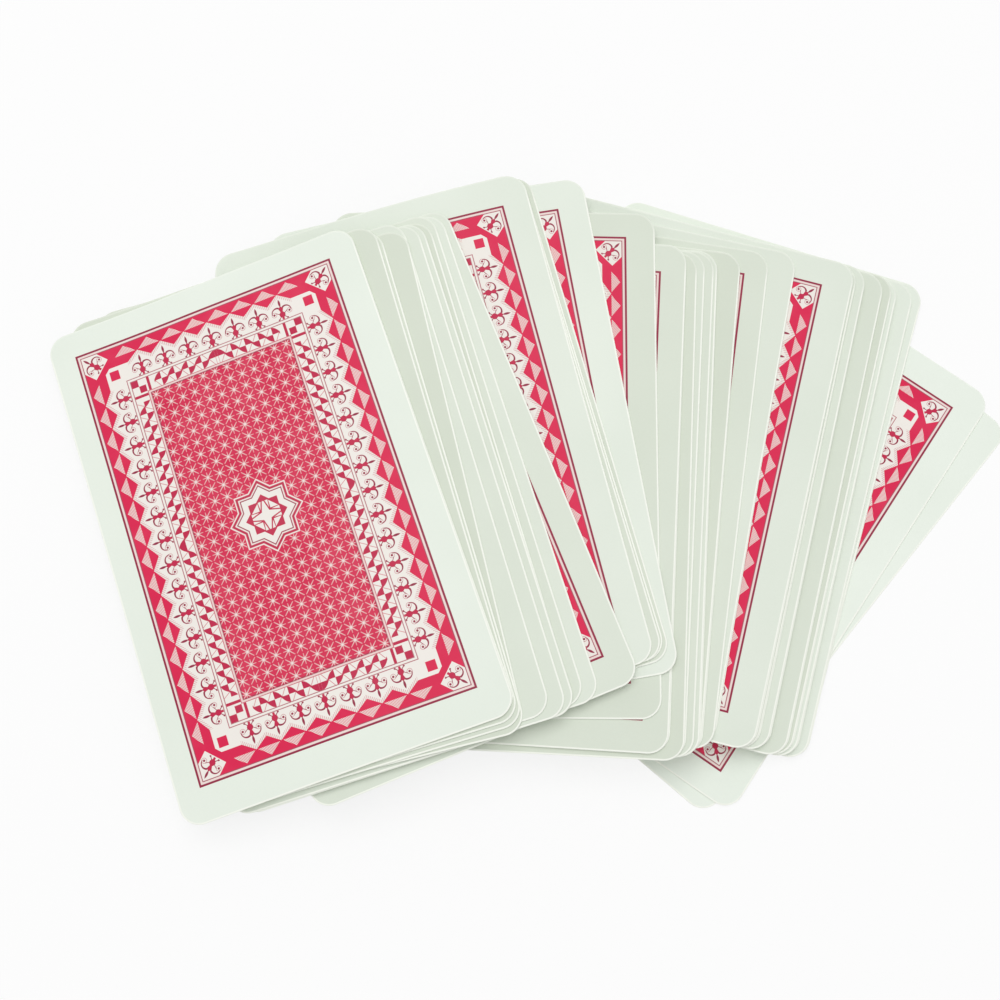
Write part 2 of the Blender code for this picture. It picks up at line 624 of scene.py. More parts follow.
        off_square = greater(abs(rim.from_side - self.square_at), abs(rim.from_end - self.square_at))
        square = below(off_square, self.square_half_width)
        fine = any_of(
            strokes * in_place,
            bodies * self.fleur_deepened,
            fringe * self.fringe_strength,
            bands(depth, *self.thin_lines),
        )
        return any_of(red, square, bodies, bands(depth, *self.tints)), fine

    def checks(self, rim: Rim) -> Value:
        """Draw the inner band of counterchanged sails, with small checks in its corners.

        Args:
            rim: Where the spot lies.

        Returns:
            The mask of the ink.
        """
        into = (rim.depth - self.check_start) / (self.check_end - self.check_start)
        to_edge = greater(1.0 - abs(into - 0.5) * 2.0, 0.0)
        inner = below(0.5 - into, 0.0, self.halves_soft)
        # Two sails lean on each upright: the outer one points away from the middle of the
        # side, and the inner one towards it.
        from_first = rim.place - pick(rim.long_side, self.first_short, self.first_long)
        uprights = from_first / pick(rim.long_side, self.sail_pitch_short, self.sail_pitch_long)
        outward = uprights.paint.math("FRACT", uprights)
        from_upright = pick(inner, outward, 1.0 - outward)
        sail = below(from_upright - to_edge**0.5 * self.sail_reach, 0.0, self.sail_soft)
        sail = pick(below(from_first), sail, 1.0 - inner)
        # A hairline crosses each pale cell.
        off_hairline = abs(self.hairline_at - from_upright - to_edge * self.hairline_slope)
        hairline = below(off_hairline, self.hairline_half_width, self.sail_soft) * self.hairline_strength
        first = line(from_first, 0.0, self.first_pen) * inner * self.first_strength
        further = greater(rim.from_side, rim.from_end)
        sails = any_of(sail, hairline, first) * below(self.sails_end - further)

        middle = (self.check_start + self.check_end) / 2
        squares = 1.0 - abs(below(rim.from_side, middle) - below(rim.from_end, middle))
        pattern = pick(below(further, self.check_end), sails, squares)
        clear = between(further, self.check_end, self.divider[1])
        pattern = greater(pattern * (1.0 - clear), between(further, *self.divider))
        pattern = pattern * between(rim.depth, self.check_start, self.check_end)
        return greater(pattern, bands(rim.depth, self.check_line))

    def middle(self, across: Value, along: Value, depth: Value) -> tuple[Value, Value]:
        """Draw the field of stars and the medallion on it.

        Args:
            across: The distance from the middle across the card.
            along: The distance from the middle along the card.
            depth: The distance in from the outer line.

        Returns:
            The mask of the ink, and how far it is deepened in the medallion.
        """
        medallion = star(across, along, self.medallion_square, self.medallion_diamond)
        stars = self.stars(across, along) * below(self.medallion_gap - medallion)
        rosette = self.rosette(across, along) * below(medallion, self.rosette_edge)
        pale = any_of(stars, bands(medallion, *self.pale_rings), rosette)
        ink = below(self.field_start - depth) * (1.0 - pale) * self.field_strength
        return ink, bands(medallion, *self.deep_rings)

    def stars(self, across: Value, along: Value) -> Value:
        """Draw the small eight-armed stars of the field.

        Args:
            across: The distance from the middle across the card.
            along: The distance from the middle along the card.

        Returns:
            The mask of what is left pale.
        """
        to_x = folded(across, self.star_pitch_across, self.star_pitch_across / 2)
        to_y = folded(along, self.star_pitch_along, self.star_pitch_along / 2)
        near = lesser(to_x, to_y)
        far = greater(to_x, to_y)
        out = far + near
        heart = below(reach(to_x, to_y), self.heart_radius, self.heart_soft) * self.heart_strength
        upright = all_of(
            below(near, self.upright_half_width),
            below(far, self.upright_reach),
            self.upright_strength - far * self.upright_fading,
        )
        slanted = all_of(
            below((far - near) * DIAGONAL, self.slanted_half_width),
            below(out, self.slanted_reach),
            self.slanted_strength - out * self.slanted_fading,
        )
        return any_of(heart, upright, slanted)

    def rosette(self, across: Value, along: Value) -> Value:
        """Draw the arms, wedges and slits of the star in the medallion.

        Args:
            across: The distance from the middle across the card.
            along: The distance from the middle along the card.

        Returns:
            The mask of what is left pale.
        """
        near = lesser(across, along)
        far = greater(across, along)
        in_reach = below(far, self.rosette_reach)
        arm = below(near + far * self.arm_slope, self.arm_width) * in_reach
        wedge = all_of(below(self.wedge_start - near), below(near + far, self.wedge_end))
        low_slope, low = self.slit_low
        high_slope, high = self.slit_high
        slit = all_of(below(low - far * low_slope - near), below(near - far * high_slope, high), in_reach)
        return any_of(arm, wedge, slit)


@dataclass(frozen=True)
class Pip:
    """A suit's mark about its own middle, one unit from there to its tip."""

    suit: Suit
    soft: float = 0.03
    lobe_aside: float = 0.46
    lobe_height: float = 0.38
    lobe_radius: float = 0.5
    wedge_slope: float = 0.796
    wedge_top: float = 0.07
    spade_shift: float = 0.1
    spade_squash: float = 1.1
    club_radius: float = 0.42
    club_top: float = 0.5
    club_side: Pair = (0.5, -0.14)
    club_heart: Pair = (0.08, 0.3)
    stem_half_width: float = 0.07
    stem_span: Pair = (-1.0, -0.2)
    foot_top: float = -0.45
    foot_spread: float = 0.9
    diamond_narrowing: float = 1.3
    diamond_hollow: float = 0.92

    def ink(self, x: Value, y: Value) -> Value:
        """Draw the mark.

        Args:
            x: The place across it.
            y: The place along it, up to its tip.

        Returns:
            The mask of its ink.
        """
        draw = {
            Suit.SPADES: self.spade,
            Suit.HEARTS: self.heart,
            Suit.CLUBS: self.club,
            Suit.DIAMONDS: self.diamond,
        }
        return draw[self.suit](abs(x), y)

    def heart(self, x: Value, y: Value) -> Value:
        """Draw a heart that stands on its tip: two lobes and the wedge that touches both.

        Args:
            x: The distance from the mark's axis.
            y: The place along the mark, up to its tip.

        Returns:
            The mask of the ink.
        """
        lobe = dot(x - self.lobe_aside, y - self.lobe_height, self.lobe_radius)
        in_wedge = below(x - (y + 1.0) * self.wedge_slope, 0.0, self.soft)
        wedge = all_of(in_wedge, below(y, self.wedge_top, self.soft))
        middle = all_of(below(x, self.lobe_aside, self.soft), between(y, 0.0, self.lobe_height))
        return any_of(lobe, wedge, middle)

    def spade(self, x: Value, y: Value) -> Value:
        """Draw a spade: a heart turned over, on a stem."""
        return greater(self.heart(x, (self.spade_shift - y) * self.spade_squash), self.stem(x, y))

    def club(self, x: Value, y: Value) -> Value:
        """Draw a club: three lobes on a stem, with their middle filled.

        Args:
            x: The distance from the mark's axis.
            y: The place along the mark, up to its tip.

        Returns:
            The mask of the ink.
        """
        top = dot(x, y - self.club_top, self.club_radius)
        side = dot(x - self.club_side[0], y - self.club_side[1], self.club_radius)
        heart = dot(x, y - self.club_heart[0], self.club_heart[1])
        return any_of(top, side, heart, self.stem(x, y))

    def stem(self, x: Value, y: Value) -> Value:
        """Draw the stem that spreads into a foot.

        Args:
            x: The distance from the mark's axis.
            y: The place along the mark, up to its tip.

        Returns:
            The mask of the ink.
        """
        spread = greater(self.foot_top - y, 0.0)
        in_width = below(x - spread * spread * self.foot_spread, self.stem_half_width, self.soft)
        return all_of(in_width, between(y, *self.stem_span))

    def diamond(self, x: Value, y: Value) -> Value:
        """Draw a diamond with slightly hollow sides."""
        sides = (x * self.diamond_narrowing) ** self.diamond_hollow + abs(y) ** self.diamond_hollow
        return below(sides, 1.0, self.soft)


@dataclass(frozen=True)
class Stroke:
    """A straight pen stroke of an index mark, in a box one unit high about the origin."""

    start: Pair
    end: Pair

    def gap(self, x: Value, y: Value) -> Value:
        """Measure how far a spot lies from the stroke.

        Args:
            x: The place across the mark's box.
            y: The place up it.

        Returns:
            The distance.
        """
        run_x = self.end[0] - self.start[0]
        run_y = self.end[1] - self.start[1]
        square = run_x**2 + run_y**2
        from_x = x - self.start[0]
        from_y = y - self.start[1]
        share = x.paint.math("MULTIPLY_ADD", from_x, run_x / square, from_y * (run_y / square), clamp=True)
        return reach(from_x - share * run_x, from_y - share * run_y)


@dataclass(frozen=True)
class Bow:
    """A round pen stroke of an index mark: an oval, or the part of it on one side of a line."""

    middle: Pair
    radii: Pair
    # The kept side: the line's normal, and how far along it the line lies from the middle.
    side: Pair = (0.0, 0.0)
    cut: float = -1.0

    def gap(self, x: Value, y: Value) -> Value:
        """Measure how far a spot lies from the stroke.

        Args:
            x: The place across the mark's box.
            y: The place up it.

        Returns:
            The distance.
        """
        off_x = x - self.middle[0]
        off_y = y - self.middle[1]
        gap = abs(reach(off_x / self.radii[0], off_y / self.radii[1]) - 1.0) * min(self.radii)
        kept = below(self.cut - (off_x * self.side[0] + off_y * self.side[1]), 0.0, CRISP)
        return gap + (1.0 - kept)


# The pen strokes of the usual index marks.
INDEX_MARKS: dict[str, tuple[Union[Stroke, Bow], ...]] = {
    "ace": (
        Stroke((-0.3, -0.5), (0.0, 0.5)),
        Stroke((0.0, 0.5), (0.3, -0.5)),
        Stroke((-0.18, -0.14), (0.18, -0.14)),
    ),
    "two": (
        Bow((0.0, 0.22), (0.27, 0.28), (-0.3, 1.0), -0.08),
        Stroke((0.25, 0.12), (-0.28, -0.5)),
        Stroke((-0.28, -0.5), (0.3, -0.5)),
    ),
    "three": (
        Bow((0.0, 0.25), (0.25, 0.25), (1.0, 0.6), -0.1),
        Bow((0.0, -0.23), (0.28, 0.27), (1.0, -0.6), -0.1),
    ),
    "four": (
        Stroke((0.12, -0.5), (0.12, 0.5)),
        Stroke((0.12, 0.5), (-0.3, -0.2)),
        Stroke((-0.3, -0.2), (0.32, -0.2)),
    ),
    "five": (
        Stroke((0.26, 0.5), (-0.2, 0.5)),
        Stroke((-0.2, 0.5), (-0.24, 0.04)),
        Bow((0.0, -0.19), (0.29, 0.31), (1.0, -0.15), -0.17),
    ),
    "six": (Bow((0.0, -0.2), (0.27, 0.3)), Stroke((-0.27, -0.17), (0.14, 0.5))),
    "seven": (Stroke((-0.28, 0.5), (0.28, 0.5)), Stroke((0.28, 0.5), (-0.08, -0.5))),
    "eight": (Bow((0.0, 0.26), (0.23, 0.24)), Bow((0.0, -0.24), (0.28, 0.26))),
    "nine": (Bow((0.0, 0.2), (0.27, 0.3)), Stroke((0.27, 0.17), (-0.14, -0.5))),
    "ten": (Stroke((-0.36, -0.5), (-0.36, 0.5)), Bow((0.12, 0.0), (0.25, 0.5))),
    "jack": (Stroke((0.16, 0.5), (0.16, -0.22)), Bow((-0.07, -0.23), (0.23, 0.27), (0.0, -1.0), 0.0)),
    "queen": (Bow((0.0, 0.0), (0.28, 0.5)), Stroke((0.04, -0.24), (0.32, -0.56))),
    "king": (
        Stroke((-0.26, -0.5), (-0.26, 0.5)),
        Stroke((-0.26, -0.1), (0.28, 0.5)),
        Stroke((-0.1, 0.08), (0.3, -0.5)),
    ),
}

# Places of the pips in shares of the column's and the top row's distance from the middle.
# A place off the middle stands for its mirror images too.
PIP_PLACES: dict[str, tuple[Pair, ...]] = {
    "ace": ((0, 0),),
    "two": ((0, 1),),
    "three": ((0, 1), (0, 0)),
    "four": ((1, 1),),
    "five": ((1, 1), (0, 0)),
    "six": ((1, 1), (1, 0)),
    "seven": ((1, 1), (1, 0), (0, 1 / 2)),
    "eight": ((1, 1), (1, 0), (0, 1 / 2)),
    "nine": ((1, 1), (1, 1 / 3), (0, 0)),
    "ten": ((1, 1), (1, 1 / 3), (0, 2 / 3)),
}

# Points of the crown on each court card, and how tall they are in millimetres.
CROWNS: dict[str, tuple[int, float]] = {"jack": (1, 7.0), "queen": (3, 8.5), "king": (5, 10.0)}


@dataclass(frozen=True)
class FacePrint:
    """What is printed on the face of one card, in millimetres from the middle of the print."""

    rank: str
    suit: Suit
    column: float = 11.5
    top_row: float = 26.0
    pip_size: float = 4.3
    ace_size: float = 9.0
    index_x: float = -24.0
    index_y: float = 37.6
    index_height: float = 6.0
    index_pen: float = 0.075
    index_soft: float = 0.02
    small_pip_y: float = 30.6
    small_pip_size: float = 2.5
    panel_half_width: float = 18.5
    panel_half_length: float = 33.0
    panel_pip_inset: Pair = (6.0, 6.5)
    panel_lines: tuple[Band, ...] = ((-0.175, 0.175, 1.0), (-0.975, -0.825, 1.0))
    crown_half_width: float = 10.0
    crown_foot: float = 7.0
    crown_band: float = 3.2
    crown_pen: float = 0.4
    pearl_radius: float = 0.9
    jewel_radius: float = 0.8
    jewel_pitch: float = 4.0
    joker_star: Pair = (11.0, 15.6)
    joker_body: float = -3.0
    joker_lines: tuple[Band, ...] = ((-0.25, 0.25, 1.0), (-3.15, -2.85, 1.0))
    joker_ring: float = 17.5
    joker_pen: float = 0.5
    joker_index: Pair = (1.9, 2.7)

    def ink(self, x: Value, y: Value) -> tuple[Value, list[Value]]:
        """Draw the whole face.

        Args:
            x: The place across the card.
            y: The place along the card.

        Returns:
            The mask of the ink, and the masks of what is gilded, if anything is.
        """
        if self.rank == "joker":
            body, lines = self.joker(x, y)
            return lines, [body]
        index = self.index(x, y)
        if self.rank in CROWNS:
            body, crown = self.crown(x, y)
            return any_of(index, self.panel(x, y), crown), [body]
        return greater(index, self.pips(x, y)), []

    def index(self, x: Value, y: Value) -> Value:
        """Draw the index in its corner and again, turned over, in the opposite one.

        Args:
            x: The place across the card.
            y: The place along the card.

        Returns:
            The mask of the ink.
        """
        off_x = turned(x, y) - self.index_x
        mark_x = off_x / self.index_height
        mark_y = (abs(y) - self.index_y) / self.index_height
        nearest = reduce(lesser, (stroke.gap(mark_x, mark_y) for stroke in INDEX_MARKS[self.rank]))
        pip_y = (abs(y) - self.small_pip_y) / self.small_pip_size
        pip = Pip(self.suit).ink(off_x / self.small_pip_size, pip_y)
        return greater(below(nearest, self.index_pen, self.index_soft), pip)

    def pips(self, x: Value, y: Value) -> Value:
        """Draw the pips of a number card, those below the middle upside down.

        Args:
            x: The place across the card.
            y: The place along the card.

        Returns:
            The mask of the ink.
        """
        size = self.ace_size if self.rank == "ace" else self.pip_size
        masks = []
        for column, row in PIP_PLACES[self.rank]:
            local_x = (abs(x) - column * self.column) / size
            local_y = ((abs(y) if row else y) - row * self.top_row) / size
            mask = Pip(self.suit).ink(local_x, local_y)
            # The odd pip of a seven has no mirror image.
            if self.rank == "seven" and column == 0:
                mask = mask * below(0.0 - y)
            masks.append(mask)
        return any_of(*masks)

    def panel(self, x: Value, y: Value) -> Value:
        """Draw the framed panel of a court card, with two pips.

        Args:
            x: The place across the card.
            y: The place along the card.

        Returns:
            The mask of the ink.
        """
        inset = greater(abs(x) - self.panel_half_width, abs(y) - self.panel_half_length)
        inset_x, inset_y = self.panel_pip_inset
        pip_x = (turned(x, y) + self.panel_half_width - inset_x) / self.pip_size
        pip_y = (abs(y) - self.panel_half_length + inset_y) / self.pip_size
        return greater(bands(inset, *self.panel_lines), Pip(self.suit).ink(pip_x, pip_y))

    def crown(self, x: Value, y: Value) -> tuple[Value, Value]:
        """Draw a crown above the middle and again, turned over, below it.

        Args:
            x: The place across the card.
            y: The place along the card.

        Returns:
            The masks of the crown's body and of its outline and jewels.
        """
        points, height = CROWNS[self.rank]
        across = abs(x)
        up = abs(y) - self.crown_foot
        pitch = 2 * self.crown_half_width / points
        to_point = folded(across, pitch)
        top = self.crown_band + (1.0 - to_point * (2.0 / pitch)) * height
        edge = greater(greater(up - top, 0.0 - up), across - self.crown_half_width)
        pearl = dot(to_point, up - self.crown_band - height, self.pearl_radius)
        on_crown = below(across, self.crown_half_width + self.pearl_radius)
        jewel = dot(folded(across, self.jewel_pitch), up - self.crown_band / 2, self.jewel_radius)
        lines = any_of(line(edge, 0.0, self.crown_pen), pearl * on_crown, jewel * below(edge))
        return below(edge), lines

    def joker(self, x: Value, y: Value) -> tuple[Value, Value]:
        """Draw an eight-pointed star in a ring, and a small star in two corners.

        Args:
            x: The place across the card.
            y: The place along the card.

        Returns:
            The masks of the star's body and of the outlines.
        """
        large = star(abs(x), abs(y), *self.joker_star)
        small_x = abs(turned(x, y) - self.index_x)
        small = star(small_x, abs(abs(y) - self.index_y), *self.joker_index)
        ring = line(reach(x, y), self.joker_ring, self.joker_pen)
        return below(large, self.joker_body), any_of(bands(large, *self.joker_lines), ring, below(small))


@dataclass(frozen=True)
class CardStock:
    """The coated board that the cards are cut from."""

    fresh_shade: Colour = (0.81, 0.875, 0.785, 1.0)
    fresh_light: Colour = (0.89, 0.945, 0.865, 1.0)
    # The darker, yellower pair stands for yellowing and for painted shade together.
    shaded_and_aged_dark: Colour = (0.63, 0.685, 0.57, 1.0)
    shaded_and_aged_pale: Colour = (0.70, 0.755, 0.64, 1.0)
    cloud: float = 22.0 * MM
    cloud_detail: float = 3.0
    cloud_contrast: float = 1.2
    grain: float = 0.35 * MM
    grain_contrast: float = 0.35
    # The pale rim, partly wear from handling and partly a painted highlight along the cut edges, fainter at
    # the far end. Millimetres.
    worn_and_highlit_rim: Colour = (0.96, 0.98, 0.90, 1.0)
    rim_width: float = 0.28
    rim_soft: float = 0.12
    far_end_fainter: float = 0.75
    far_end_soft: float = 3.0
    # The coating.
    roughness: float = 0.42
    roughness_contrast: float = 0.12
    specular: float = 0.2
    relief: float = 0.01 * MM
    relief_strength: float = 0.25
    ink_gloss: float = 0.05

    def tone(self, paint: Paint) -> NodeSocket:
        """Colour the bare board, which is a little uneven, blended towards a darker, yellower tone that is
        partly yellowing and partly painted shade.

        Args:
            paint: The material's nodes.

        Returns:
            The colour's socket.
        """
        cloud = (paint.noise(self.cloud, self.cloud_detail) - 0.5) * self.cloud_contrast
        grain = (paint.noise(self.grain) - 0.5) * self.grain_contrast
        patches = paint.math("ADD", cloud + grain, 0.5, clamp=True)
        fresh = paint.mix(patches, self.fresh_shade, self.fresh_light)
        # Painted shade and yellowing: the card's attribute blends the board towards the darker, yellower
        # pair.
        shaded_and_aged = paint.mix(patches, self.shaded_and_aged_dark, self.shaded_and_aged_pale)
        return paint.mix(paint.attribute(SHADE_AND_AGE), fresh, shaded_and_aged)

    def shader(self, paint: Paint, colour: NodeSocket, gloss: Number) -> NodeSocket:
        """Give a colour the board's coated finish.

        Args:
            paint: The material's nodes.
            colour: The colour.
            gloss: How much smoother than bare board the surface is.

        Returns:
            The shader's socket.
        """
        grain = paint.noise(self.grain)
        inputs = {
            "Base Color": colour,
            "Roughness": self.roughness - gloss + (grain - 0.5) * self.roughness_contrast,
            "Normal": paint.bump(grain, self.relief_strength, self.relief),
            "Specular IOR Level": self.specular,
        }
        return paint.node("ShaderNodeBsdfPrincipled", {}, inputs).outputs["BSDF"]


@dataclass(frozen=True)
class CardShape:
    """One flat card, back up, as it is stamped from the board. Millimetres and degrees."""

    width: float = 57.0
    length: float = 88.0
    thickness: float = 0.21
    corner_radius: float = 3.5
    corner_segments: int = 10
    rim: float = 0.2
    cell: float = 3.0
    cut_tolerance: float = 0.02
    edge_round: float = 0.05
    edge_segments: int = 2
    edge_angle: float = 60.0
    smooth_angle: float = 50.0

    def worn_and_highlit(self, paint: Paint, stock: CardStock) -> NodeSocket:
        """Colour the board with a pale rim, partly wear from handling and partly a painted highlight along
        the edges, fainter at the far end.

        Args:
            paint: The material's nodes.
            stock: The board.

        Returns:
            The colour's socket.
        """
        x, y = paint.position(CARD_MAP)
        past_x = greater(abs(x) - (self.width / 2 - self.corner_radius), 0.0)
        past_y = greater(abs(y) - (self.length / 2 - self.corner_radius), 0.0)
        from_edge = self.corner_radius - reach(past_x, past_y)
        # The pale rim is partly wear and partly painted highlight; the far end of the card gets less of it.
        far_end = below(self.length / 2 - self.corner_radius - y, 0.0, stock.far_end_soft)
        rim = below(from_edge, stock.rim_width, stock.rim_soft) * (1.0 - far_end * stock.far_end_fainter)
        return paint.mix(rim, stock.tone(paint), stock.worn_and_highlit_rim)

    def build(self) -> Object:
        """Model the flat card at the origin.

        Returns:
            The card.
        """
        bpy.ops.object.select_all(action="DESELECT")
        bpy.ops.mesh.primitive_plane_add(size=1.0)
        card = bpy.context.object
        card.name = "flat_card"
        card.scale = (self.width * MM, self.length * MM, 1.0)
        bpy.ops.object.transform_apply(location=False, rotation=False, scale=True)
        bpy.ops.object.mode_set(mode="EDIT")
        bpy.ops.mesh.select_all(action="SELECT")
        bpy.ops.mesh.bevel(
            offset=self.corner_radius * MM, segments=self.corner_segments, profile=0.5, affect="VERTICES"
        )
        bpy.ops.mesh.select_all(action="SELECT")
        bpy.ops.mesh.inset(thickness=self.rim * MM, depth=0.0)
        self.cut_across(self.width, (1.0, 0.0, 0.0))
        self.cut_across(self.length, (0.0, 1.0, 0.0))
        bpy.ops.object.mode_set(mode="OBJECT")
        self.thicken(card)
        return card

    def cut_across(self, across: float, normal: tuple[float, float, float]) -> None:
        """Cut the sheet into even strips so that it can bend.

        Args:
            across: How wide the sheet is across the cuts.
            normal: The direction across the cuts.
        """
        strips = round(across / self.cell)
        for cut in range(1, strips):
            place = (cut / strips - 0.5) * across * MM
            point = [place * along for along in normal]
            bpy.ops.mesh.select_all(action="SELECT")
            bpy.ops.mesh.bisect(plane_co=point, plane_no=normal, threshold=self.cut_tolerance * MM)

    def thicken(self, card: Object) -> None:
        """Give the sheet its thickness and slightly rounded edges.

        Args:
            card: The sheet.
        """
        wall = card.modifiers.new("board", "SOLIDIFY")
        wall.thickness = self.thickness * MM
        wall.offset = 1.0
        bpy.ops.object.modifier_apply(modifier=wall.name)
        rounding = card.modifiers.new("stamped_edge", "BEVEL")
        rounding.width = self.edge_round * MM
        rounding.segments = self.edge_segments
        rounding.limit_method = "ANGLE"
        rounding.angle_limit = math.radians(self.edge_angle)
        bpy.ops.object.modifier_apply(modifier=rounding.name)
        bpy.ops.object.shade_smooth_by_angle(angle=math.radians(self.smooth_angle))


@dataclass(frozen=True)
class BackFinish:
    """The printed back of a card."""

    stock: CardStock
    outline: CardShape
    ornament: BackOrnament = field(default_factory=BackOrnament)
    crimson: Colour = (0.76, 0.018, 0.09, 1.0)
    deep_crimson: Colour = (0.67, 0.013, 0.07, 1.0)
    fine_crimson: Colour = (0.30, 0.022, 0.06, 1.0)
    panel: Colour = (0.92, 0.84, 0.80, 1.0)
    panel_tint: float = 0.7
    patch: float = 6.0 * MM
    patch_detail: float = 3.0
    cover: Pair = (0.965, 0.07)

    def material(self) -> Material:
        """Make the material.

        Returns:
            The finished material.
        """
        paint = Paint(bpy.data.materials.new("printed_back"))
        x, y = paint.position(PRINT_MAP)
        board = self.outline.worn_and_highlit(paint, self.stock)
        ink, fine = self.ornament.ink(x, y)
        patches = paint.noise(self.patch, self.patch_detail)
        red = paint.mix(patches, self.crimson, self.deep_crimson)
        red = paint.mix(fine, red, self.fine_crimson)
        least, more = self.cover
        panel = below(greater(abs(x) - self.ornament.half_width, abs(y) - self.ornament.half_length))
        ground = paint.mix(panel * self.panel_tint, board, self.panel)
        colour = paint.mix(ink * (least + patches * more), ground, red)
        return paint.surface(self.stock.shader(paint, colour, ink * self.stock.ink_gloss))


@dataclass(frozen=True)
class FaceFinish:
    """The printed face of one card."""

    stock: CardStock
    outline: CardShape
    name: str
    red: Colour = (0.60, 0.02, 0.035, 1.0)
    black: Colour = (0.018, 0.018, 0.022, 1.0)
    gold: Colour = (0.78, 0.52, 0.10, 1.0)
    gold_cover: float = 0.9
    patch: float = 5.0 * MM
    patch_detail: float = 3.0
    cover: Pair = (0.92, 0.12)

    def material(self) -> Material:
        """Make the material.

        Returns:
            The finished material.
        """
        paint = Paint(bpy.data.materials.new(f"face_{self.name}"))
        x, y = paint.position(PRINT_MAP)
        ground = self.outline.worn_and_highlit(paint, self.stock)
        rank, suit_name = self.name.replace("_of_", "_").split("_")
        suit = Suit(suit_name)
        ink, gilded = FacePrint(rank, suit).ink(x, y)
        for mask in gilded:
            ground = paint.mix(mask * self.gold_cover, ground, self.gold)
        least, more = self.cover
        cover = ink * (least + paint.noise(self.patch, self.patch_detail) * more)
        colour = paint.mix(cover, ground, self.red if suit.red else self.black)
        return paint.surface(self.stock.shader(paint, colour, ink * self.stock.ink_gloss))


@dataclass(frozen=True)
class EdgeFinish:
    """The bare cut edge of a card, which is rougher than its coated sides."""

    stock: CardStock
    fibre: float = 0.08 * MM
    gloss: float = -0.2

    def material(self) -> Material:
        """Make the material.

        Returns:
            The finished material.
        """
        paint = Paint(bpy.data.materials.new("cut_edge"))
        colour = paint.mix(paint.noise(self.fibre), self.stock.fresh_light, self.stock.worn_and_highlit_rim)
        return paint.surface(self.stock.shader(paint, colour, self.gloss))


@dataclass
class Seat:
    """Where one packed card lies: its middle, its turn and the bend that it rests in. Metres."""

    middle_along: float
    middle_y: float
    turn: float
    run: np.ndarray
    rise: np.ndarray
    along: np.ndarray

    # How far the bend is smoothed, how far it is carried on past the card, the step between
    # its points, and how close together two corners count as one place.
    EASE = 4.0 * MM
    MARGIN = 12.0 * MM
    STEP = 1.0 * MM
    GRID = 0.01 * MM

    @classmethod
    def of(cls, node: Object) -> "Seat":
        """Read a seat off a packed card.

        Args:
            node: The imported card.

        Returns:
            Its seat.
        """
        points = read(node.data.vertices, "co")
        run, rise, along = cls.bend(points)
        flat = np.column_stack((np.interp(points[:, 0], run, along), points[:, 1]))
        rim = flat[convex_hull_2d([Vector(point) for point in flat])]
        middle, turn = cls.middle_and_turn(rim)
        return cls(middle[0], middle[1], turn, run, rise, along)

    @classmethod
    def bend(cls, points: np.ndarray) -> tuple[np.ndarray, np.ndarray, np.ndarray]:
        """Find the curve of a packed card's underside, which depends on X alone.

        Args:
            points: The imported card's corners.

        Returns:
            X, height and length along the curve at even steps, past both ends of the card.
        """
        keys = np.round(points[:, 0] / cls.GRID).astype(int)
        places = np.unique(keys)
        x = np.array([points[keys == key, 0].mean() for key in places])
        z = np.array([points[keys == key, 2].min() for key in places])
        left = np.polyfit(x[x < x[0] + cls.EASE], z[x < x[0] + cls.EASE], 1)
        right = np.polyfit(x[x > x[-1] - cls.EASE], z[x > x[-1] - cls.EASE], 1)
        x = np.concatenate(((x[0] - 3 * cls.MARGIN,), x, (x[-1] + 3 * cls.MARGIN,)))
        z = np.concatenate(((np.polyval(left, x[0]),), z, (np.polyval(right, x[-1]),)))
        run = np.arange(x[1] - cls.MARGIN, x[-2] + cls.MARGIN, cls.STEP)
        before, at, after = (np.interp(run + shift, x, z) for shift in (-cls.EASE, 0.0, cls.EASE))
        rise = (before + 2 * at + after) / 4
        steps = np.hypot(np.diff(run), np.diff(rise))
        return run, rise, np.concatenate(((0.0,), np.cumsum(steps)))

    @staticmethod
    def middle_and_turn(rim: np.ndarray) -> tuple[np.ndarray, float]:
        """Find the middle of a card and how far its length is turned from Y.

        Args:
            rim: The card's outline, laid flat.

        Returns:
            Its middle and its turn, in radians.
        """
        ahead = np.roll(rim, -1, axis=0)
        cross = rim[:, 0] * ahead[:, 1] - ahead[:, 0] * rim[:, 1]
        middle = ((rim + ahead) * cross[:, None]).sum(axis=0) / (3 * cross.sum())
        here = rim - middle
        there = ahead - middle
        # The turn is that of the outline's main axis, from its second moments.
        cross = here[:, 0] * there[:, 1] - there[:, 0] * here[:, 1]
        squares = (here * here + here * there + there * there) * cross[:, None]
        xx, yy = squares.sum(axis=0) / 12
        mixed = here[:, 0] * there[:, 1] + there[:, 0] * here[:, 1]
        own = 2 * (here[:, 0] * here[:, 1] + there[:, 0] * there[:, 1])
        xy = ((mixed + own) * cross).sum() / 24
        return middle, 0.5 * math.atan2(2 * xy, xx - yy) - math.copysign(math.pi / 2, xy)

    def lay(self, points: np.ndarray, lift: float) -> np.ndarray:
        """Bend a flat card into the seat.

        Args:
            points: The flat card's points, about its middle, its underside at 0.
            lift: How far the underside is kept above the seat.

        Returns:
            The points where they lie.
        """
        cos, sin = math.cos(self.turn), math.sin(self.turn)
        y = self.middle_y + points[:, 0] * sin + points[:, 1] * cos
        along = self.middle_along + points[:, 0] * cos - points[:, 1] * sin
        x = np.interp(along, self.along, self.run)
        z = np.interp(along, self.along, self.rise)
        slope = np.interp(x, self.run, np.gradient(self.rise, self.run))
        steep = np.hypot(1.0, slope)
        height = points[:, 2] + lift
        return np.column_stack((x - slope / steep * height, y, z + height / steep))


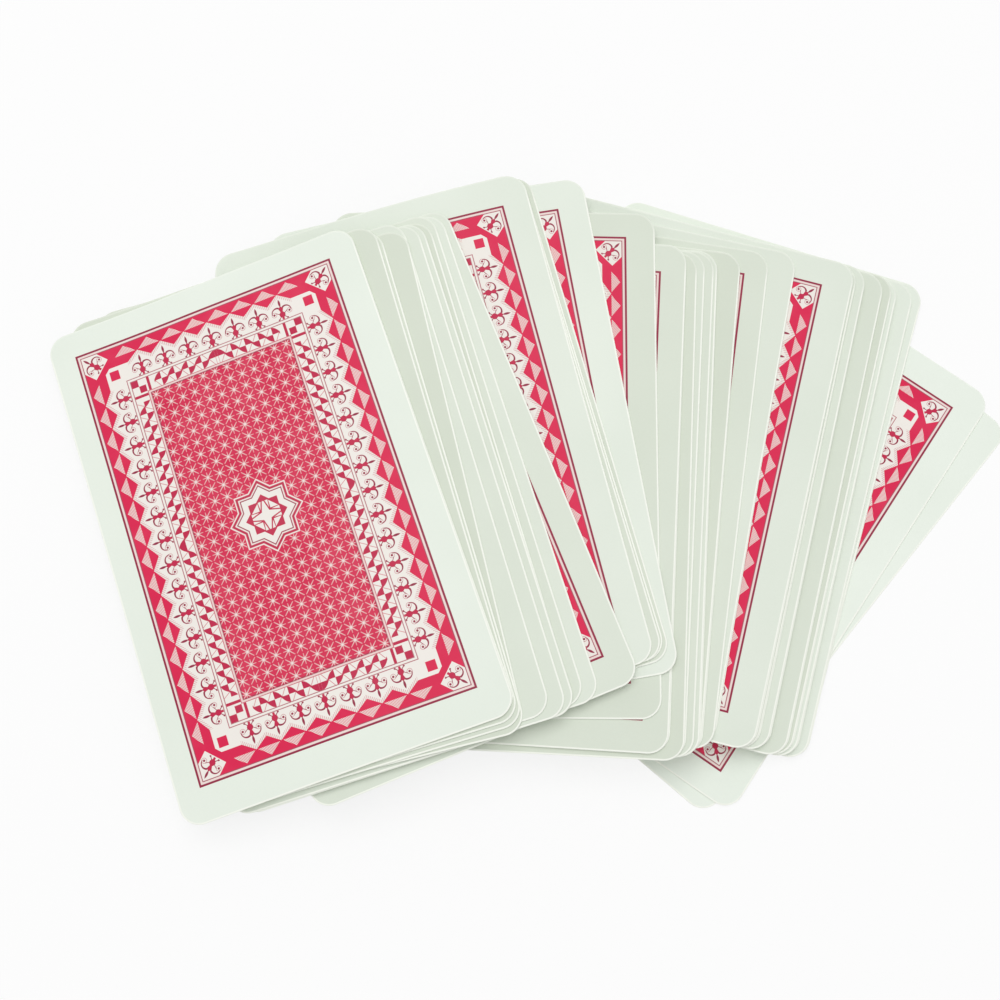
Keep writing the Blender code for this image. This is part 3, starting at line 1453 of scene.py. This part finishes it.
@dataclass
class Deck:
    """The whole pack: every card copied from one flat card and laid in its seat."""

    shape: CardShape = field(default_factory=CardShape)
    stock: CardStock = field(default_factory=CardStock)
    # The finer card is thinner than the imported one, and lies in the middle of its room.
    lift: float = 0.015 * MM
    print_stray: float = 0.5
    # The range of painted shade and yellowing given by chance to the cards not listed below.
    usual_age: Pair = (0.5, 0.95)
    seed: int = 7
    # A surface is the back or the face where the upright part of its normal is above this.
    flatness: float = 0.97
    # The gap between the sheets of the bake map, in millimetres, and the margin of its strip.
    bake_gap: float = 2.0
    bake_margin: float = 0.01

    # How far the print sits off the middle of the cards that show it best, in
    # millimetres across and along the card.
    PRINT_SHIFTS = {
        "three_of_diamonds": (-0.33, 0.59),
        "eight_of_clubs": (-0.54, -0.28),
        "five_of_clubs": (-0.74, 0.20),
        "jack_of_clubs": (0.15, 0.18),
        "king_of_spades": (-0.10, -0.15),
        "three_of_clubs": (-0.62, -0.04),
        "six_of_spades": (-0.50, 0.72),
        "five_of_spades": (0.14, 0.49),
        "seven_of_diamonds": (0.5, 0.7),
        "jack_of_spades": (-1.0, -0.8),
    }

    # How much darker and yellower the cards that show most are painted, as yellowing and painted shade
    # together. The others get theirs by chance.
    AGES = {
        "three_of_diamonds": 0.1,
        "eight_of_clubs": 0.0,
        "jack_of_spades": 0.0,
        "five_of_clubs": 0.4,
        "three_of_spades": 0.25,
        "king_of_hearts": 0.25,
        "ten_of_diamonds": 0.35,
        "five_of_hearts": 0.3,
        "two_of_spades": 0.35,
        "three_of_clubs": 0.25,
        "six_of_spades": 0.75,
        "jack_of_clubs": 0.7,
        "king_of_spades": 0.35,
    }

    def build(self, nodes: dict[str, Object]) -> list[Object]:
        """Make every card of the pack.

        Args:
            nodes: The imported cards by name.

        Returns:
            The finished cards.
        """
        blank = self.shape.build()
        back = BackFinish(self.stock, self.shape).material()
        edge = EdgeFinish(self.stock).material()
        self.dress(blank)
        chance = random.Random(self.seed)
        cards = []
        for name, node in nodes.items():
            stray = (chance.uniform(-1, 1) * self.print_stray, chance.uniform(-1, 1) * self.print_stray)
            # Painted shade and yellowing, listed for some cards and by chance for the rest.
            age = self.AGES.get(name, chance.uniform(*self.usual_age))
            card = self.copy(blank, name, self.PRINT_SHIFTS.get(name, stray), age)
            face = FaceFinish(self.stock, self.shape, name).material()
            for material in (back, face, edge):
                card.data.materials.append(material)
            self.seat(card, Seat.of(node))
            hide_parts(name)
            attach(card, name)
            cards.append(card)
        bpy.data.objects.remove(blank, do_unlink=True)
        return cards

    def dress(self, blank: Object) -> None:
        """Tell the three surfaces of the flat card apart and give it its UV maps.

        Args:
            blank: The flat card.
        """
        mesh = blank.data
        for polygon in mesh.polygons:
            side = Side.EDGE
            if abs(polygon.normal.z) > self.flatness:
                side = Side.BACK if polygon.normal.z > 0.0 else Side.FACE
            polygon.material_index = side.value
        for name in (CARD_MAP, PRINT_MAP, BAKE_MAP):
            mesh.uv_layers.new(name=name)
        self.map_card(mesh)
        self.map_bake(mesh)

    def corners(self, mesh: Mesh) -> tuple[np.ndarray, np.ndarray]:
        """Find where each corner of a face lies.

        Args:
            mesh: The flat card's mesh.

        Returns:
            Its place in millimetres, and the surface that it belongs to.
        """
        places = read(mesh.vertices, "co")[read(mesh.loops, "vertex_index", int)] / MM
        sides = read(mesh.polygons, "material_index", int)
        return places, np.repeat(sides, read(mesh.polygons, "loop_total", int))

    def map_card(self, mesh: Mesh) -> None:
        """Fill the map of millimetres from the middle, which reads right from either side.

        Args:
            mesh: The flat card's mesh.
        """
        places, sides = self.corners(mesh)
        flat = places[:, :2].copy()
        flat[sides == Side.FACE.value, 0] *= -1.0
        mesh.uv_layers[CARD_MAP].data.foreach_set("uv", flat.ravel())

    def map_bake(self, mesh: Mesh) -> None:
        """Fill the bake map: back and face side by side, and the edge as a strip above them.

        Args:
            mesh: The flat card's mesh.
        """
        places, sides = self.corners(mesh)
        gap = self.bake_gap
        margin = self.bake_margin
        sheet = 2 * self.shape.width + 3 * gap
        uv = (places[:, :2] + (self.shape.width / 2 + gap, self.shape.length / 2 + gap)) / sheet
        uv[sides == Side.FACE.value, 0] += (self.shape.width + gap) / sheet
        edge = sides == Side.EDGE.value
        strip = (self.shape.length + 2 * gap) / sheet
        turn = np.arctan2(places[:, 1], places[:, 0]) / (2 * math.pi) + 0.5
        # A face across the strip's two ends is kept whole at its far end.
        for polygon in mesh.polygons:
            span = slice(polygon.loop_start, polygon.loop_start + polygon.loop_total)
            if np.ptp(turn[span]) > 0.5:
                turn[span] = np.where(turn[span] < 0.5, 1.0, turn[span])
        uv[edge, 0] = turn[edge] * (1.0 - 2 * margin) + margin
        height = places[:, 2] / self.shape.thickness
        uv[edge, 1] = strip + height[edge] * (1.0 - margin - strip)
        mesh.uv_layers[BAKE_MAP].data.foreach_set("uv", uv.ravel())

    def copy(self, blank: Object, name: str, shift: Pair, age: float) -> Object:
        """Copy the flat card and place its print.

        Args:
            blank: The flat card.
            name: The card's name.
            shift: How far its print sits off the middle, in millimetres.
            age: How much darker and yellower it is painted, from 0 to 1, as yellowing and painted shade
                together.

        Returns:
            The copy, with a mesh of its own.
        """
        card = blank.copy()
        mesh = blank.data.copy()
        card.data = mesh
        card.name = f"card_{name}"
        mesh.name = card.name
        bpy.context.scene.collection.objects.link(card)
        places = read(mesh.uv_layers[CARD_MAP].data, "uv")
        mesh.uv_layers[PRINT_MAP].data.foreach_set("uv", (places - shift).ravel())
        # The attribute of painted shade and yellowing.
        shade_and_age_layer = mesh.attributes.new(SHADE_AND_AGE, "FLOAT", "POINT")
        shade_and_age_layer.data.foreach_set("value", np.full(len(mesh.vertices), age))
        return card

    def seat(self, card: Object, seat: Seat) -> None:
        """Bend a copy into its seat.

        Args:
            card: The copy.
            seat: Its seat.
        """
        laid = seat.lay(read(card.data.vertices, "co"), self.lift)
        card.data.vertices.foreach_set("co", laid.ravel())
        card.data.update()


@dataclass
class Studio:
    """The pale floor, the soft light and the camera. Metres and degrees."""

    floor_size: float = 6.0
    floor_colour: Colour = (0.93, 0.93, 0.93, 1.0)
    floor_roughness: float = 0.9
    white: Colour = (1.0, 1.0, 1.0, 1.0)
    floor_glow: float = 0.8
    world_level: float = 0.6
    backdrop: float = 0.98
    key_size: float = 0.9
    key_power: float = 6.0
    key_place: Vector = field(default_factory=lambda: Vector((-0.15, 0.35, 1.1)))
    aim: Vector = field(default_factory=lambda: Vector((-5.36, -0.21, 0.0)) * MM)
    distance: float = 236.68 * MM
    azimuth: float = 10.256
    elevation: float = 79.0
    roll: float = 11.287
    lens: float = 48.6
    sensor: float = 36.0
    clip_start: float = 0.01

    def build(self) -> None:
        """Set the whole stage."""
        self.floor()
        self.world()
        self.key_light()
        self.camera()
        bpy.context.scene.view_settings.view_transform = "Standard"

    def floor(self) -> None:
        """Lay the floor, which shows white to the camera and keeps the shadow."""
        bpy.ops.object.select_all(action="DESELECT")
        bpy.ops.mesh.primitive_plane_add(size=self.floor_size)
        floor = bpy.context.object
        floor.name = "floor"
        paint = Paint(bpy.data.materials.new("pale_floor"))
        finish = {"Base Color": self.floor_colour, "Roughness": self.floor_roughness}
        matt = paint.node("ShaderNodeBsdfPrincipled", {}, finish).outputs[0]
        glow = paint.node("ShaderNodeEmission", {}, {"Color": self.white}).outputs[0]
        share = paint.in_view() * self.floor_glow
        both = paint.node("ShaderNodeMixShader", {}, {0: share, 1: matt, 2: glow})
        floor.data.materials.append(paint.surface(both.outputs[0]))

    def world(self) -> None:
        """Light everything evenly from all round, with white behind."""
        paint = Paint(bpy.data.worlds.new("soft_room"))
        rooms = {0: paint.in_view()}
        for place, level in ((1, self.world_level), (2, self.backdrop)):
            room = paint.node("ShaderNodeBackground", {}, {"Color": self.white, "Strength": level})
            rooms[place] = room.outputs[0]
        both = paint.node("ShaderNodeMixShader", {}, rooms)
        bpy.context.scene.world = paint.surface(both.outputs[0])

    def key_light(self) -> None:
        """Hang a broad soft lamp over the table, behind and to the left."""
        data = bpy.data.lights.new("soft_box", "AREA")
        data.size = self.key_size
        data.energy = self.key_power
        lamp = bpy.data.objects.new("soft_box", data)
        lamp.location = self.key_place
        lamp.rotation_euler = (self.aim - self.key_place).to_track_quat("-Z", "Y").to_euler()
        bpy.context.scene.collection.objects.link(lamp)

    def camera(self) -> None:
        """Set the camera where the photograph was taken from."""
        azimuth = math.radians(self.azimuth)
        elevation = math.radians(self.elevation)
        roll = math.radians(self.roll)
        level = Vector((math.cos(azimuth), -math.sin(azimuth), 0.0))
        away = Vector((-math.sin(azimuth), -math.cos(azimuth), 0.0))
        back = away * math.cos(elevation) + Vector((0.0, 0.0, math.sin(elevation)))
        right = level * math.cos(roll) + back.cross(level) * math.sin(roll)
        data = bpy.data.cameras.new("camera")
        data.lens = self.lens
        data.sensor_width = self.sensor
        data.clip_start = self.clip_start
        camera = bpy.data.objects.new("camera", data)
        axes = Matrix((right, back.cross(right), back)).transposed().to_4x4()
        camera.matrix_world = Matrix.Translation(self.aim + back * self.distance) @ axes
        bpy.context.scene.collection.objects.link(camera)
        bpy.context.scene.camera = camera


def main() -> None:
    """Build the stage and the pack, and report each card."""
    logging.basicConfig(level=logging.INFO, format="%(message)s")
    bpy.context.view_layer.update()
    Studio().build()
    for card in Deck().build(frame["nodes"]):
        log.info("%s: %d faces", card.name, len(card.data.polygons))


if __name__ == "__main__":
    main()
